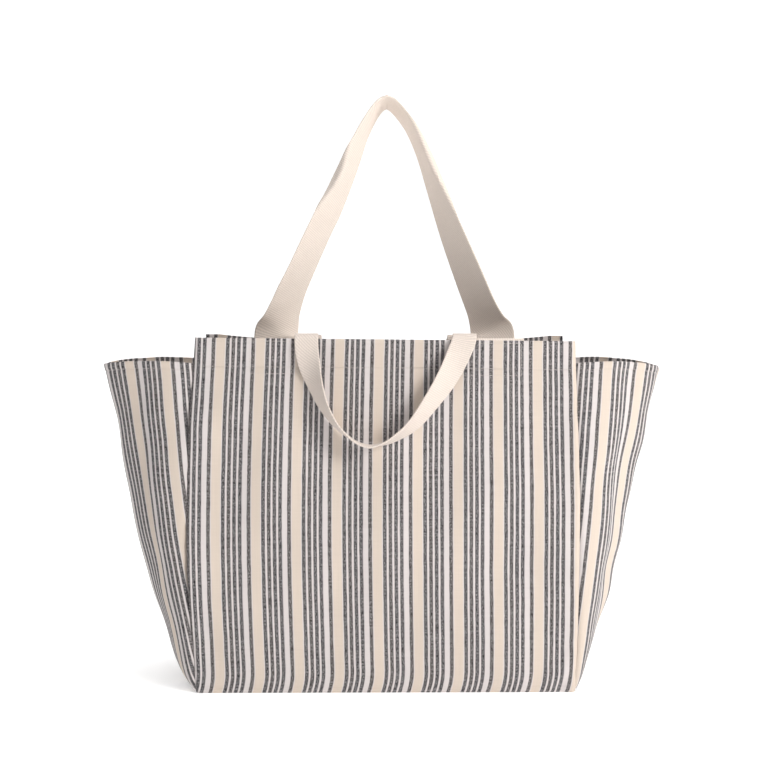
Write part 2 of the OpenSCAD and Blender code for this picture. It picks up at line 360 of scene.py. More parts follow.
def webbing(name, width, colour, twill):
    """Woven cotton tape with a firm selvedge at each edge. A twill reads as level ribs on one
    leg of the strap and as a steep diagonal on the other: 1 or -1 says which is which, and 0
    is a tape with no twill."""
    material, tree = new_material(name)
    g = Graph(tree)
    uv = g.add("UVMap", uv_map="Cloth").outputs["UV"]
    u, v = g.add("SeparateXYZ", {"Vector": uv}).outputs[:2]
    steep = g.ramp(g.math("ADD", g.math("MULTIPLY", v, 6.0 * twill), 0.5),
                   [(0.4, grey(0)), (0.6, grey(1))])
    slope = g.math("ADD", g.math("MULTIPLY", steep, 1.25 * twill), 0.15)
    lean = g.math("MULTIPLY", u, slope) if twill else 0.0
    ribs_per_metre = 1 / ((TWILL_PITCH if twill else PLAIN_PITCH) * MM)
    # The ribs are wider apart on the steep leg
    density = g.weighted((steep, -0.40 * ribs_per_metre), plus=ribs_per_metre)
    turns = g.math("MULTIPLY", g.math("ADD", v, lean), density)
    rib = g.math("SINE", g.math("MULTIPLY", turns, 2 * math.pi))
    cord = g.wave(u, 1.7 * MM)
    fibre = g.noise(g.stretched(uv, 900, 160), 1.0, 3.0, 0.6)
    weft = g.noise(g.stretched(uv, 60, 1000), 1.0, 2.0, 0.6)
    patch = g.noise(g.stretched(uv, 24, 12), 1.0, 2.0)
    edge = g.math("DIVIDE", g.math("ABSOLUTE", u), width / 2)
    selvedge = g.ramp(edge, [(0.86, grey(0)), (0.90, grey(1)), (0.93, grey(0.3)), (1.0, grey(0.8))])
    height = g.weighted((rib, 0.55), (cord, 0.25), (fibre, 0.5), (selvedge, 0.5))
    tone = g.weighted((rib, 0.085), (fibre, 0.12), (weft, 0.08), (patch, 0.06), plus=0.87)
    bump = g.add("Bump", {"Height": height, "Strength": 0.5, "Distance": 0.3 * MM})
    shader = g.add("BsdfPrincipled", {
        "Base Color": g.shaded(colour, tone), "Roughness": 0.85,
        "Sheen Weight": 0.15, "Sheen Roughness": 0.45, "Specular IOR Level": 0.25,
        "Normal": bump.outputs[0]})
    g.add("OutputMaterial", {"Surface": shader.outputs[0]})
    return material


def sewing_thread():
    """Cream cotton thread with a fine twist."""
    material, tree = new_material("thread")
    g = Graph(tree)
    uv = g.add("UVMap", uv_map="Cloth").outputs["UV"]
    u, v = g.add("SeparateXYZ", {"Vector": uv}).outputs[:2]
    twist = g.wave(g.math("ADD", u, v), 0.5 * MM)
    fibre = g.noise(g.stretched(uv, 700, 700), 1.0, 2.0)
    tone = g.weighted((fibre, 0.2), plus=0.85)
    bump = g.add("Bump", {"Height": twist, "Strength": 0.4, "Distance": 0.1 * MM})
    shader = g.add("BsdfPrincipled", {
        "Base Color": g.shaded(THREAD_COTTON, tone),
        "Roughness": 0.7, "Sheen Weight": 0.1, "Normal": bump.outputs[0]})
    g.add("OutputMaterial", {"Surface": shader.outputs[0]})
    return material


CANVAS = striped_canvas()
WIDE_WEBBING = webbing("wide_webbing", WIDE_W, WIDE_COTTON, 1)
NARROW_WEBBING = webbing("narrow_webbing", NARROW_W, NARROW_COTTON, -1)
TAPE = webbing("binding_tape", TAPE_FLAT_W, TAPE_COTTON, 0)
THREAD = sewing_thread()

# ---------------------------------------------------------------- panels
CELL = 3.4 * MM


def edge_roll(distance, reach=4 * MM, depth=2.2 * MM):
    """How far an edge turns inwards, at a distance from it."""
    return depth * (1 - np.clip(distance / reach, 0, 1)) ** 2


def spaced(total, fine_end=8 * MM, fine=0.8 * MM):
    """Distances from 0 to total, close together near both ends."""
    near = np.arange(0, fine_end, fine)
    middle = np.linspace(fine_end, total - fine_end, int((total - 2 * fine_end) / CELL) + 1)
    return np.concatenate([near, middle, total - near[::-1]])


def levels_with_hem():
    """Heights up a panel, close together at the base, at the hem line and at the top."""
    hem = PANEL_H - HEM_LINE
    return np.concatenate([
        np.arange(0, 8, 1.0) * MM,
        np.linspace(8 * MM, hem - 5 * MM, int((hem - 13 * MM) / CELL) + 1),
        hem + np.arange(-4.2, 4.3, 0.7) * MM,
        np.linspace(hem + 5 * MM, PANEL_H - 3 * MM, 8),
        PANEL_H + np.array([-2, -1.2, -0.6, -0.2, 0]) * MM])


def panel_relief(x, z, waves, creases):
    """How far the cloth of a panel stands out from its smooth shape."""
    hem = PANEL_H - HEM_LINE
    free = ramp01(z / (60 * MM)) * ramp01((hem - z) / (90 * MM) + 0.25)
    relief = 1.3 * MM * free * waves(x, z)
    # Broad folds that hang from the strap ends
    for at in (-WIDE_X, -NARROW_X, NARROW_X, WIDE_X):
        fall = ramp01((z - 120 * MM) / (200 * MM)) * ramp01((PANEL_H + 20 * MM - z) / (60 * MM))
        relief += 0.9 * MM * fall * np.exp(-((x - at * 1.02) / (17 * MM)) ** 2)
    for row in creases:
        relief -= crease(x, z, row)
    # The hem's second layer, and the dimples that its stitches pull
    relief += 0.45 * MM * ramp01((z - hem) / (1.6 * MM) + 0.5)
    pull = 0.7 + 0.3 * np.sin(2 * math.pi * x / STITCH_PITCH)
    relief -= 0.75 * MM * pull * np.exp(-((z - hem) / (1.3 * MM)) ** 2)
    # The top edge is folded over, and ripples a little
    relief -= 0.9 * MM * ramp01((z - PANEL_H + 1.6 * MM) / (1.6 * MM))
    relief += 0.4 * MM * ramp01((z - hem) / HEM_LINE) * (1 + np.sin(x / (31 * MM) + 0.6))
    # The base seam is turned under
    relief -= 2.6 * MM * (1 - np.clip(z / (5 * MM), 0, 1)) ** 2
    relief -= 0.9 * MM * np.exp(-((z - 5.5 * MM) / (1.1 * MM)) ** 2)
    return relief


class Wall:
    """The cloth of one large panel, as it hangs at the front of the bag."""

    def __init__(self, bows, waves, creases, drop, sag, skew):
        self.bows = bows
        self.waves = waves
        self.creases = creases
        self.drop = drop
        self.sag = sag
        self.skew = skew

    def sides(self, z):
        return half_width(z, self.bows[0]), half_width(z, self.bows[1])

    def out(self, x, z):
        """How far the outer face stands in front of the middle of the bag."""
        left, right = self.sides(z)
        from_edge = np.minimum(x + left, right - x)
        out = half_depth(z) + panel_relief(x, z, self.waves, self.creases)
        out = out - edge_roll(from_edge, 4.5 * MM, 2.4 * MM)
        # Seam puckers, which die out away from the side seams
        pucker = np.sin(2 * math.pi * z / (23 * MM) + 3 * np.sin(z / (31 * MM)))
        fade = np.exp(-np.maximum(from_edge, 0) / (9 * MM)) * ramp01((RIM_Z - z) / (20 * MM))
        return out + 0.5 * MM * pucker * fade

    def normal(self, x, z):
        e = 0.3 * MM
        slope_x = (self.out(x + e, z) - self.out(x - e, z)) / (2 * e)
        slope_z = (self.out(x, z + e) - self.out(x, z - e)) / (2 * e)
        normal = np.stack([-slope_x, -np.ones_like(slope_x), -slope_z], -1)
        return normal / np.linalg.norm(normal, axis=-1, keepdims=True)

    def place(self, x, z, inset=0.0):
        """Points at x and z, set in from the outer face."""
        fall = self.drop * (x / TOP_HALF_W + 1) / 2
        fall = fall + self.sag * (1 - np.clip(np.abs(x) / (185 * MM), 0, 1) ** 3)
        fall = fall * ramp01(z / PANEL_H) ** 2
        points = np.stack([x, -self.out(x, z), z - fall], -1)
        return points - self.normal(x, z) * inset if inset else points


def panel_grid(wall):
    """Grid over a whole panel, with the cloth coordinates of its flat cut."""
    z = levels_with_hem()
    left, right = wall.sides(z)
    across = spaced(2 * TOP_HALF_W) / (2 * TOP_HALF_W)
    x = -left[:, None] + across[None, :] * (left + right)[:, None]
    zz = np.repeat(z[:, None], len(across), 1)
    cloth_w = 0.55 * TOP_HALF_W + 0.45 * (left + right)[:, None] / 2
    # The stripes are pulled sideways where the cloth is sewn to the base
    pulled = wall.skew * (1 - np.clip(zz / (24 * MM), 0, 1)) ** 2
    cloth = np.stack([(2 * across[None, :] - 1) * cloth_w + pulled, zz], -1)
    return wall.place(x, zz), cloth


def facing_grid(wall):
    """Grid over the facing: the panel's own cloth, turned down inside its top edge."""
    z = PANEL_H + np.array([-32, -31.4, -30.6, -30, -29.4, -27, -22, -16, -10, -5, -2, -0.9]) * MM
    left, right = wall.sides(z)
    across = spaced(2 * TOP_HALF_W - 3 * MM) / (2 * TOP_HALF_W - 3 * MM)
    x = 1.5 * MM - left[:, None] + across[None, :] * (left + right - 3 * MM)[:, None]
    zz = np.repeat(z[:, None], len(across), 1)
    cloth = np.stack([x, 2 * PANEL_H - zz], -1)
    return wall.place(x, zz, FACING_INSET), cloth


FRONT_CREASES = [
    (196, 60, 150, 4, 7, 2.2),
    (203, 28, 176, 0, 5, 2.4),
    (-200, 90, -168, 20, 9, 1.6),
    (-204, 330, -150, 235, 12, 1.6),
    (203, 322, 160, 250, 12, 1.4),
    (60, 300, 20, 190, 16, 1.1),
]
BACK_CREASES = [
    (196, 70, 150, 10, 9, 2.0),
    (-200, 80, -150, 12, 9, 2.0),
    (-60, 310, -20, 180, 18, 1.3),
    (110, 300, 70, 150, 18, 1.2),
]


# The section of a folded binding tape, in parts of its width and thickness, from the seam
# round the folded edge and back
TAPE_FOLD = [(0, 0), (0.3, 0.03), (0.6, 0.0), (0.85, 0.03), (0.95, 0.12), (1.0, 0.35), (1.0, 0.65),
             (0.95, 0.88), (0.85, 0.97), (0.6, 1.0), (0.3, 0.97), (0, 1.0)]


def folded_tape(name, edge, inward, up, along, replaced):
    """Tape folded over a seam. edge is its line of points at the seam, inward the way to its
    folded edge and up the way through its thickness, one vector of each at every point."""
    fold = np.array(TAPE_FOLD)
    wobble = 0.25 * MM * np.sin(along / (9 * MM)) + 0.2 * MM * np.sin(along / (4.1 * MM) + 1)
    reach = (BINDING_W + wobble)[:, None, None] * fold[None, :, :1]
    thick = FOLDED_TAPE_T * fold[None, :, 1:]
    points = edge[:, None] + inward[:, None] * reach + up[:, None] * (thick + 0.2 * MM)
    steps = np.diff(fold, axis=0) * [BINDING_W, FOLDED_TAPE_T]
    run = np.concatenate([[0], np.cumsum(np.hypot(*steps.T))])
    cloth = np.stack(np.broadcast_arrays(run[None, :] - run[-1] / 2, along[:, None]), -1)
    obj = sheet_object(name, points, cloth, TAPE_T, TAPE, "binding_tape")
    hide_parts(replaced)
    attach(obj, "bag")
    return obj


def build_seam_bindings(wall, end, turn):
    """The bindings inside the two side seams of one panel."""
    z = np.arange(5, 337.1, 2.5) * MM
    left, right = wall.sides(z)
    seams = [("left", BINDING_MARGIN - left, 1), ("right", right - BINDING_MARGIN, -1)]
    for side, x, inward in seams:
        edge = wall.place(x, z, FACING_INSET)
        up = -wall.normal(x + inward * BINDING_W / 2, z)
        across = np.tile([float(inward), 0, 0], (len(z), 1))
        across -= up * (across * up).sum(1, keepdims=True)
        along = z
        if (inward > 0) != turn:
            # Keeps the tape's faces pointing out of the fold
            edge, across, up, along = (v[::-1] for v in (edge, across, up, z))
        if turn:
            edge, across, up = (v * [1, -1, 1] for v in (edge, across, up))
        name = f"{end}_{side}_seam_binding"
        obj = folded_tape(name + "_tape", edge, across, up, along, name)


def build_base_binding():
    """The binding over the seam round the base, laid on it as one loop with round corners."""
    half_x = BASE_HALF_W - 2.7 * MM
    half_y = BASE_HALF_DEPTH - 2.7 * MM
    radius = 12 * MM
    corners = [(1, -1), (1, 1), (-1, 1), (-1, -1)]
    edge, inward = [], []
    for at, (side_x, side_y) in enumerate(corners):
        start = -math.pi / 2 + at * math.pi / 2
        for turn in np.linspace(0, math.pi / 2, 9):
            a = start + turn
            edge.append((side_x * (half_x - radius) + radius * math.cos(a),
                         side_y * (half_y - radius) + radius * math.sin(a)))
            inward.append((-math.cos(a), -math.sin(a), 0))
        # The straight run to the next corner
        next_x, next_y = corners[(at + 1) % 4]
        last = np.array(edge[-1])
        ahead = np.array([next_x * (half_x - radius * abs(math.sin(a))),
                          next_y * (half_y - radius * abs(math.cos(a)))])
        for share in np.linspace(0, 1, 40)[1:-1]:
            edge.append(tuple(last + (ahead - last) * share))
            inward.append(inward[-1])
    edge.append(edge[0])
    inward.append(inward[0])
    flat = np.array(edge)
    along = np.concatenate([[0], np.cumsum(np.hypot(*np.diff(flat, axis=0).T))])
    points = np.concatenate([flat, np.full((len(flat), 1), 2.3 * MM)], 1)
    up = np.tile([0.0, 0.0, 1.0], (len(flat), 1))
    obj = folded_tape("base_binding_tape", points, np.array(inward), up, along,
                      "base_seam_binding")


# ---------------------------------------------------------------- stitching
STITCH_RINGS, STITCH_SIDES = 6, 6


def stitch_mesh(line, normals, first):
    """A row of stitches along a line: short bent threads whose ends dip into the cloth."""
    run = np.concatenate([[0], np.cumsum(np.linalg.norm(np.diff(line, axis=0), axis=1))])
    count = max(int(run[-1] / STITCH_PITCH), 1)
    pitch = run[-1] / count
    share = np.linspace(0.06, 0.94, STITCH_RINGS)
    at = (np.arange(count)[:, None] + share[None, :]) * pitch
    centre = np.stack([np.interp(at, run, line[:, k]) for k in range(3)], -1)
    normal = np.stack([np.interp(at, run, normals[:, k]) for k in range(3)], -1)
    normal /= np.linalg.norm(normal, axis=-1, keepdims=True)
    ahead = np.gradient(centre, axis=1)
    ahead /= np.linalg.norm(ahead, axis=-1, keepdims=True)
    side = np.cross(ahead, normal)
    arch = np.sin(math.pi * share)[None, :, None]
    centre = centre + normal * (0.26 * arch - 0.16) * MM
    angle = np.arange(STITCH_SIDES) * 2 * math.pi / STITCH_SIDES
    radius = (0.10 + 0.10 * arch[..., None]) * MM
    ring = (side[:, :, None] * np.cos(angle)[:, None] + normal[:, :, None] * np.sin(angle)[:, None])
    verts = (centre[:, :, None] + ring * radius).reshape(-1, 3)
    cloth = np.stack(np.broadcast_arrays(at[:, :, None], angle * 0.3 * MM), -1).reshape(-1, 2)
    index = first + np.arange(len(verts)).reshape(count, STITCH_RINGS, STITCH_SIDES)
    around = np.roll(index, -1, axis=2)
    quads = np.stack([index[:, :-1], index[:, 1:], around[:, 1:], around[:, :-1]], -1)
    faces = quads.reshape(-1, 4).tolist()
    faces += index[:, 0].tolist() + index[:, -1, ::-1].tolist()
    return verts, faces, cloth


def stitch_object(name, rows, replaced):
    verts, faces, cloth = [], [], []
    first = 0
    for line, normals in rows:
        row_verts, row_faces, row_cloth = stitch_mesh(line, normals, first)
        first += len(row_verts)
        verts.append(row_verts)
        faces += row_faces
        cloth.append(row_cloth)
    obj = make_object(name, np.concatenate(verts), faces, np.concatenate(cloth), THREAD, "thread")
    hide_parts(replaced)
    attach(obj, "bag")
    return obj


def turned(rows, turn):
    """Rows of stitches as they are at the front, or at the back of the bag."""
    flip = np.array([1, -1, 1]) if turn else np.array([1, 1, 1])
    return [(line * flip, normals * flip) for line, normals in rows]


def wall_row(wall, x, z, inset):
    """A row of stitches on the outer face of a wall, or on its inside where inset is more."""
    normals = wall.normal(x, z)
    return wall.place(x, z, inset), normals if inset <= 0 else -normals


def hem_rows(wall):
    x = np.arange(-196, 196.1, 1) * MM
    z = np.full_like(x, PANEL_H - HEM_LINE)
    return [wall_row(wall, x, z, 0.0), wall_row(wall, x, z, FACING_INSET + CANVAS_T)]


def box_rows(wall, end_x, width):
    """A rectangle of stitching over each end of a strap, outside and inside."""
    low, high = TAB_FOOT_Z + BOX_MARGIN, PANEL_H - BOX_MARGIN
    rows = []
    for middle in (-end_x, end_x):
        x0, x1 = middle - width / 2 + BOX_MARGIN, middle + width / 2 - BOX_MARGIN
        corners = [(x0, low), (x1, low), (x1, high), (x0, high), (x0, low)]
        for (ax, az), (bx, bz) in zip(corners, corners[1:]):
            share = np.linspace(0, 1, 30)
            x, z = ax + (bx - ax) * share, az + (bz - az) * share
            rows.append(wall_row(wall, x, z, -0.02 * MM))
            inside = np.stack([x, np.full_like(x, WEBBING_T / 2 - HINGE_Y), z], -1)
            rows.append((inside, np.tile([0.0, 1.0, 0.0], (len(x), 1))))
    return rows


def build_panels():
    walls = {
        "front": Wall((9 * MM, 4 * MM), Waves(3, 0.05, 0.26), FRONT_CREASES, drop=4 * MM,
                      sag=0.0, skew=4.5 * MM),
        "back": Wall((5 * MM, 7 * MM), Waves(11, 0.05, 0.26), BACK_CREASES, drop=2 * MM,
                     sag=7 * MM, skew=-3 * MM),
    }
    phases = {"front": FRONT_PHASE, "back": FRONT_PHASE + 9 * MM}
    for end, wall in walls.items():
        turn = end == "back"
        for part, grid, flat in (("panel", panel_grid(wall), (0.412, 0.374)),
                                 ("facing", facing_grid(wall), (0.400, 0.032))):
            points, cloth = grid
            if turn:
                points, cloth = flip_y(points), cloth[:, ::-1]
            obj = sheet_object(f"{end}_{part}_cloth", points, cloth + [phases[end], 0], CANVAS_T,
                               CANVAS, "striped_canvas")
            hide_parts(f"{end}_{part}")
            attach(obj, "bag")
        build_seam_bindings(wall, end, turn)
        stitch_object(f"{end}_hem_stitches", turned(hem_rows(wall), turn), f"{end}_hem_stitching")
        for strap, end_x, width in (("shoulder_strap", WIDE_X, WIDE_W),
                                    ("grab_handle", NARROW_X, NARROW_W)):
            stitch_object(f"{end}_{strap}_stitches", turned(box_rows(wall, end_x, width), turn),
                          f"{end}_{strap}_stitching")


# ---------------------------------------------------------------- gussets
GUSSET_COLS = 74
# Rows of points up a gusset: close together above the base, even up to the hem, and then
# close together again, with the stitched one in the middle of those
GUSSET_LOW_ROWS, GUSSET_ROWS, RIM_HALF_ROWS = 8, 86, 5
RIM_STITCH_ROW = GUSSET_LOW_ROWS + GUSSET_ROWS + RIM_HALF_ROWS


def gusset_reach(z, reach, puff):
    """How far a gusset stands out from the panels: it puffs out at once above the base."""
    return (puff * (1 - np.exp(-z / (9 * MM)))
            + (reach - puff) * np.clip(z / RIM_Z, 0, 1) ** 1.08)


def gusset_sections(z, reach, puff, power, bow):
    """Plan curves of the right gusset at heights z, evenly spaced along each, front to back."""
    a = np.linspace(-math.pi / 2, math.pi / 2, 361)
    shape_x = np.abs(np.cos(a)) ** (2 / power)
    shape_y = np.sign(a) * np.abs(np.sin(a)) ** (2 / power)
    rows = []
    for level in z:
        x = half_width(level, bow) + gusset_reach(level, reach, puff) * shape_x
        y = (half_depth(level) - 1.4 * MM) * shape_y
        run = np.concatenate([[0], np.cumsum(np.hypot(np.diff(x), np.diff(y)))])
        share = np.linspace(0, run[-1], GUSSET_COLS)
        rows.append(np.stack([np.interp(share, run, x), np.interp(share, run, y), share
                              - run[-1] / 2], -1))
    return np.array(rows)


def gusset_points(reach, puff, bow, waves, folds, tip_drop):
    hem = RIM_Z - RIM_HEM
    z = np.concatenate([
        np.arange(GUSSET_LOW_ROWS) * MM,
        np.linspace(GUSSET_LOW_ROWS * MM, hem - 4 * MM, GUSSET_ROWS),
        hem + np.linspace(-3, 3, 2 * RIM_HALF_ROWS + 1) * MM,
        np.linspace(hem + 4 * MM, RIM_Z - 1 * MM, 3),
        [RIM_Z - 0.4 * MM, RIM_Z]])
    plan = gusset_sections(z, reach, puff, 2.1, bow)
    s = plan[..., 2]
    zz = np.repeat(z[:, None], GUSSET_COLS, 1)
    points = np.concatenate([plan[..., :2], zz[..., None]], -1)
    normal = grid_normals(points)
    half = np.abs(s[:, :1])
    from_seam = half - np.abs(s)
    free = ramp01(from_seam / (25 * MM)) * ramp01(zz / (50 * MM))
    relief = 1.2 * MM * waves(s, zz) * free
    for lean, *sizes in folds:
        at, low, width, depth, sway = np.array(sizes) * MM
        bend = np.sin((zz - low) / (FOLD_TOP - low) * 2 * math.pi)
        middle = at + lean * (zz - low) + sway * bend
        fade = ramp01((zz - low) / (70 * MM)) * ramp01((FOLD_TOP - zz) / (60 * MM))
        relief += depth * fade * np.exp(-((s - middle) / width) ** 2) * ramp01(
            from_seam / (12 * MM))
    relief -= edge_roll(from_seam, 5 * MM, 2.0 * MM)
    relief += 0.5 * MM * ramp01((zz - hem) / (1.4 * MM) + 0.5)
    pull = 0.7 + 0.3 * np.sin(2 * math.pi * s / RIM_STITCH_PITCH)
    relief -= 0.6 * MM * pull * np.exp(-((zz - hem) / (1.1 * MM)) ** 2)
    relief -= 0.8 * MM * ramp01((zz - RIM_Z + 1.2 * MM) / (1.2 * MM))
    relief -= 2.4 * MM * (1 - np.clip(zz / (5 * MM), 0, 1)) ** 2
    points = points + normal * relief[..., None]
    # The rim rises a little between the seam and the tip, and the tip hangs lower
    share = np.abs(s) / half
    rise = 3 * MM * np.sin(math.pi * share) - tip_drop * (1 - share) ** 2
    points[..., 2] += rise * ramp01(zz / RIM_Z) ** 2
    cloth = np.stack([s, zz], -1)
    return points, cloth, half


def with_allowance(points, cloth):
    """Adds seam allowances to both ends of every row, turned in behind the panels."""
    steps = np.array([1.0, 3.0, 6.0]) * MM
    left, right = [
        [points[:, end] + [-step, -side * min(step, 1.2 * MM), 0] for step in steps]
        for end, side in ((0, -1), (-1, 1))]
    grid = np.concatenate([np.stack(left[::-1], 1), points, np.stack(right, 1)], 1)
    before = np.stack([cloth[:, 0] - [step, 0] for step in steps[::-1]], 1)
    after = np.stack([cloth[:, -1] + [step, 0] for step in steps], 1)
    return grid, np.concatenate([before, cloth, after], 1)


# Folds up each gusset: how much the fold leans, then in millimetres its place across, where it
# starts, its width, how far it stands out and how far it sways
FOLD_TOP = 420 * MM
RIGHT_FOLDS = [
    (0.02, -62, 60, 12, -4.0, 3),
    (0.04, -36, 40, 11, 3.0, -4),
    (0.0, -12, 80, 10, -3.0, 3),
    (-0.03, 34, 60, 14, 2.0, 4),
    (0.0, 66, 60, 13, -4.0, 3),
]
LEFT_FOLDS = [
    (0.02, -70, 80, 13, -3.5, 3),
    (0.05, -42, 30, 12, 3.0, 3),
    (0.0, -10, 100, 10, -2.5, -3),
    (-0.03, 30, 40, 14, 3.0, -4),
    (0.0, 64, 70, 12, -4.0, 4),
]


def build_rim_stitches(side, points):
    """Stitches along the hem of a gusset's rim, on both its faces."""
    line = points[RIM_STITCH_ROW, 2:-2]
    normals = grid_normals(points)[RIM_STITCH_ROW, 2:-2]
    rows = [(line, normals), (line - normals * CANVAS_T, -normals)]
    if side == "left":
        rows = [(row_line * [-1, 1, 1], row_normals * [-1, 1, 1]) for row_line, row_normals in rows]
    stitch_object(f"{side}_rim_stitches", rows, f"{side}_rim_stitching")


def build_gussets():
    for side, bow, waves, folds, phase, reach, puff, lean, drop in (
            ("left", 9 * MM, Waves(21, 0.05, 0.2), LEFT_FOLDS, LEFT_PHASE, REACH + 2 * MM,
             24 * MM, 0.05, 5 * MM),
            ("right", 4 * MM, Waves(5, 0.05, 0.2), RIGHT_FOLDS, RIGHT_PHASE, REACH - 3 * MM,
             16 * MM, 0.01, 9 * MM)):
        points, cloth, half = gusset_points(reach, puff, bow, waves, folds, drop)
        build_rim_stitches(side, points)
        # The stripes run from the front seam at the rim, and lean towards it lower down
        cloth[..., 0] += half[-1, 0] + phase + lean * (RIM_Z - cloth[..., 1])
        points, cloth = with_allowance(points, cloth)
        if side == "left":
            points, cloth = flip_x(points), cloth[:, ::-1]
        obj = sheet_object(f"{side}_gusset_cloth", points, cloth, CANVAS_T, CANVAS,
                           "striped_canvas")
        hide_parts(f"{side}_gusset")
        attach(obj, "bag")


def build_base():
    """The base sags very slightly between its seams, and rests on the floor."""
    across = spaced(2 * BASE_HALF_W - 5 * MM) - BASE_HALF_W + 2.5 * MM
    deep = spaced(2 * BASE_HALF_DEPTH - 5 * MM) - BASE_HALF_DEPTH + 2.5 * MM
    x, y = np.meshgrid(across, deep[::-1])
    inset = np.minimum(BASE_HALF_W - np.abs(x), BASE_HALF_DEPTH - np.abs(y))
    lift = 1.4 * MM * (1 - np.clip(inset / (9 * MM), 0, 1)) ** 2
    lift = lift + 0.35 * MM * (1 + np.tanh(Waves(8, 0.06, 0.3)(x, y))) * ramp01(inset / (20 * MM))
    points = np.stack([x, y, lift + 0.05 * MM], -1)
    cloth = np.stack([x, y], -1)
    obj = sheet_object("base_cloth", points, cloth, CANVAS_T, CANVAS, "striped_canvas")
    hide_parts("base_panel")
    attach(obj, "bag")


# ---------------------------------------------------------------- straps
# Routes from the hinge line to where the two legs of a loop meet, in millimetres: inwards
# along the bag, off the hinge line, up, and how far the webbing has turned on edge, in degrees
STANDING_LEFT_ROUTE = [
    (0.6, 0, -2, 4), (1.9, 0, 3, 20), (4.6, 0, 10.5, 36), (9, 0, 24, 48), (17.5, 0, 46, 54.5),
    (29, 0, 70, 58), (50.6, 1, 115.6, 60), (59.5, 1, 132.7, 61), (69.5, 2, 153.3, 65),
    (81, 2, 178.3, 70), (89, 2, 199, 72), (97.5, 2, 219.7, 76), (109, 2, 240.4, 79),
    (117, 2, 250.5, 80), (123.5, 2, 254, 80)]
STANDING_RIGHT_ROUTE = [
    (0.8, 0, -2, 5), (2.7, 0, 3, 24), (5.6, 0, 9.5, 39), (9.8, 0, 20, 47.5), (14, 0, 30, 51),
    (26.5, 0, 60, 54), (46.2, 1, 108, 61), (65.5, 2, 159.6, 71), (79, 2, 195, 78),
    (91, 2, 222, 80), (101, 2, 238, 80), (111.5, 2, 250, 80), (118.5, 2, 254, 80)]
DROPPED_ROUTE = [
    (0, 3, -4.6, 0), (0, 6.4, -6.2, 0), (0, 9.5, -11, 0), (2, 11, -30, 8), (9, 13, -60, 20),
    (20, 16, -90, 36), (34, 18, -120, 54), (50, 19, -152, 70), (64, 19, -180, 78),
    (78, 19, -206, 82), (93, 19, -230, 86), (107, 19, -250, 88), (121, 19, -258, 90)]
STEEP_HANDLE_ROUTE = [
    (0, 2.8, 0.9, 0), (0, 6.2, -0.9, 0), (0, 8, -5, 0), (0.5, 10.5, -15, 6), (3, 14.5, -28, 22),
    (9.5, 20, -49, 48), (18, 24.5, -71, 64), (30.5, 28.5, -91, 76), (44, 31, -104, 84),
    (55, 32.5, -111, 88), (66, 33.5, -114, 90)]
LONG_HANDLE_ROUTE = [
    (0, 2.8, 0.9, 0), (0, 6.2, -0.9, 0), (0.5, 8, -5, 2), (6, 12.5, -18, 10), (17, 19, -40, 28),
    (30, 25, -60, 41), (54, 31, -91, 58), (76, 33, -107, 74), (90, 33.5, -112.5, 84),
    (100, 33.5, -114, 90)]
# The hidden handle lies over the back panel's edge, which sags, so its routes are lower
BACK_HANDLE_ROUTES = [[(i, off, up - 5, turn) for i, off, up, turn in route]
                      for route in (STEEP_HANDLE_ROUTE, LONG_HANDLE_ROUTE)]
RING_SPACING = 2.4 * MM


def smooth_route(route, fine=12):
    """Points of the smooth curve through a route, which starts up the sewn-down tab."""
    foot = (TAB_FOOT_Z - HINGE_Z) / MM
    low = min(route[0][2], 0)
    tab = [(0, 0, foot, 0), (0, 0, foot + 10, 0), (0, 0, foot + 20, 0), (0, 0, low - 9, 0)]
    tab += [(0, 0.25, low - 3.5, 0)] if route[0][1] else []
    spots = np.array(tab + list(route), float)
    ends = np.concatenate([[2 * spots[0] - spots[1]], spots, [2 * spots[-1] - spots[-2]]])
    f = np.linspace(0, 1, fine, endpoint=False)[:, None]
    run = []
    for p0, p1, p2, p3 in zip(ends, ends[1:], ends[2:], ends[3:]):
        run.append(0.5 * (2 * p1 + (p2 - p0) * f + (2 * p0 - 5 * p1 + 4 * p2 - p3) * f * f
                          + (3 * p1 - p0 - 3 * p2 + p3) * f ** 3))
    return np.concatenate(run + [spots[-1:]])


def webbing_leg(route, end_x, off, edge):
    """One leg of a strap at the left of the front hinge line: evenly spaced points, the way
    ahead and the way across the webbing at each, and the distance along it."""
    spots = smooth_route(route)
    x = spots[:, 0] * MM - end_x
    points = np.stack([x, off * spots[:, 1] * MM - HINGE_Y, spots[:, 2] * MM + HINGE_Z], -1)
    run = np.concatenate([[0], np.cumsum(np.linalg.norm(np.diff(points, axis=0), axis=1))])
    at = np.linspace(0, run[-1], int(run[-1] / RING_SPACING))
    path = np.stack([np.interp(at, run, points[:, k]) for k in range(3)], -1)
    turn = np.radians(np.interp(at, run, spots[:, 3]))
    # Evens out the kinks between the spots
    for _ in range(3):
        turn[1:-1] = (turn[:-2] + 2 * turn[1:-1] + turn[2:]) / 4
    heading = np.gradient(path, axis=0)
    heading[-1] = [1, 0, 0]
    heading /= np.linalg.norm(heading, axis=1, keepdims=True)
    flat = np.array([1.0, 0, 0]) - heading * heading[:, :1]
    size = np.linalg.norm(flat, axis=1, keepdims=True)
    flat /= np.maximum(size, 1e-9)
    flat[-1] = [0, 0, np.sign(flat[-2][2])]
    across = flat * np.cos(turn)[:, None] + np.array(edge) * np.sin(turn)[:, None]
    across -= heading * (across * heading).sum(1, keepdims=True)
    across /= np.linalg.norm(across, axis=1, keepdims=True)
    return path, heading, across, at


